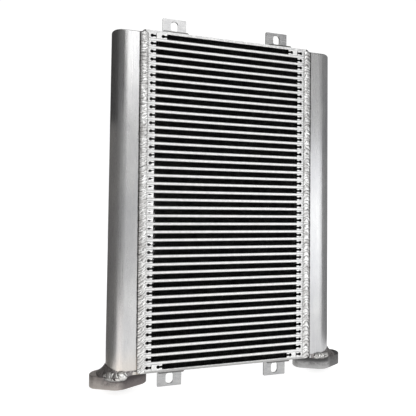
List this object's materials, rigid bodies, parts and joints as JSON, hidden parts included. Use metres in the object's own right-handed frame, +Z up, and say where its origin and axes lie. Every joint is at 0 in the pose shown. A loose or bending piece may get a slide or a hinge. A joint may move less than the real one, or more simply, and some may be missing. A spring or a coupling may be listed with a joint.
{
  "type": "hydraulic oil cooler",
  "caption": "Bar-and-plate aluminium oil cooler: fin core between two D-section header tanks, with bolted port flanges below and slotted brackets.",
  "frame": {"origin": "centre of the core, which is also the centre of the whole part's box", "axes": "+X from the left header tank to the right one, +Y through the core from its front face to its rear face, +Z up, away from the port flanges"},
  "size_m": [0.415, 0.05, 0.5742],
  "materials": {
    "core_plate": "brazed, satin",
    "core_bar": "extruded and brazed, satin",
    "air_fin": "dark, deep in the passages",
    "oil_fin": "satin",
    "tank": "extruded, lightly brushed",
    "flange": "cast, dull",
    "bracket": "sheet, satin",
    "weld": "rippled weld bead"
  },
  "bodies": {
    "root": {"parting_plates": "core_plate", "front_oil_bars": "core_bar", "rear_oil_bars": "core_bar", "oil_fins": "oil_fin", "air_fins": "air_fin", "left_air_bars": "core_bar", "right_air_bars": "core_bar", "left_stiffener_bars": "core_bar", "right_stiffener_bars": "core_bar", "upper_side_plate": "core_plate", "lower_side_plate": "core_plate", "left_tank_shell": "tank", "right_tank_shell": "tank", "left_tank_top_cap": "tank", "right_tank_top_cap": "tank", "left_tank_bottom_cap": "tank", "right_tank_bottom_cap": "tank", "left_port_flange": "flange", "right_port_flange": "flange", "left_front_seam_weld": "weld", "left_rear_seam_weld": "weld", "right_front_seam_weld": "weld", "right_rear_seam_weld": "weld", "left_top_seam_weld": "weld", "right_top_seam_weld": "weld", "left_flange_weld": "weld", "right_flange_weld": "weld", "upper_left_bracket": "bracket", "upper_right_bracket": "bracket", "lower_left_bracket": "bracket", "lower_right_bracket": "bracket", "upper_left_bracket_welds": "weld", "upper_right_bracket_welds": "weld", "lower_left_bracket_welds": "weld", "lower_right_bracket_welds": "weld"}
  },
  "joints": []
}
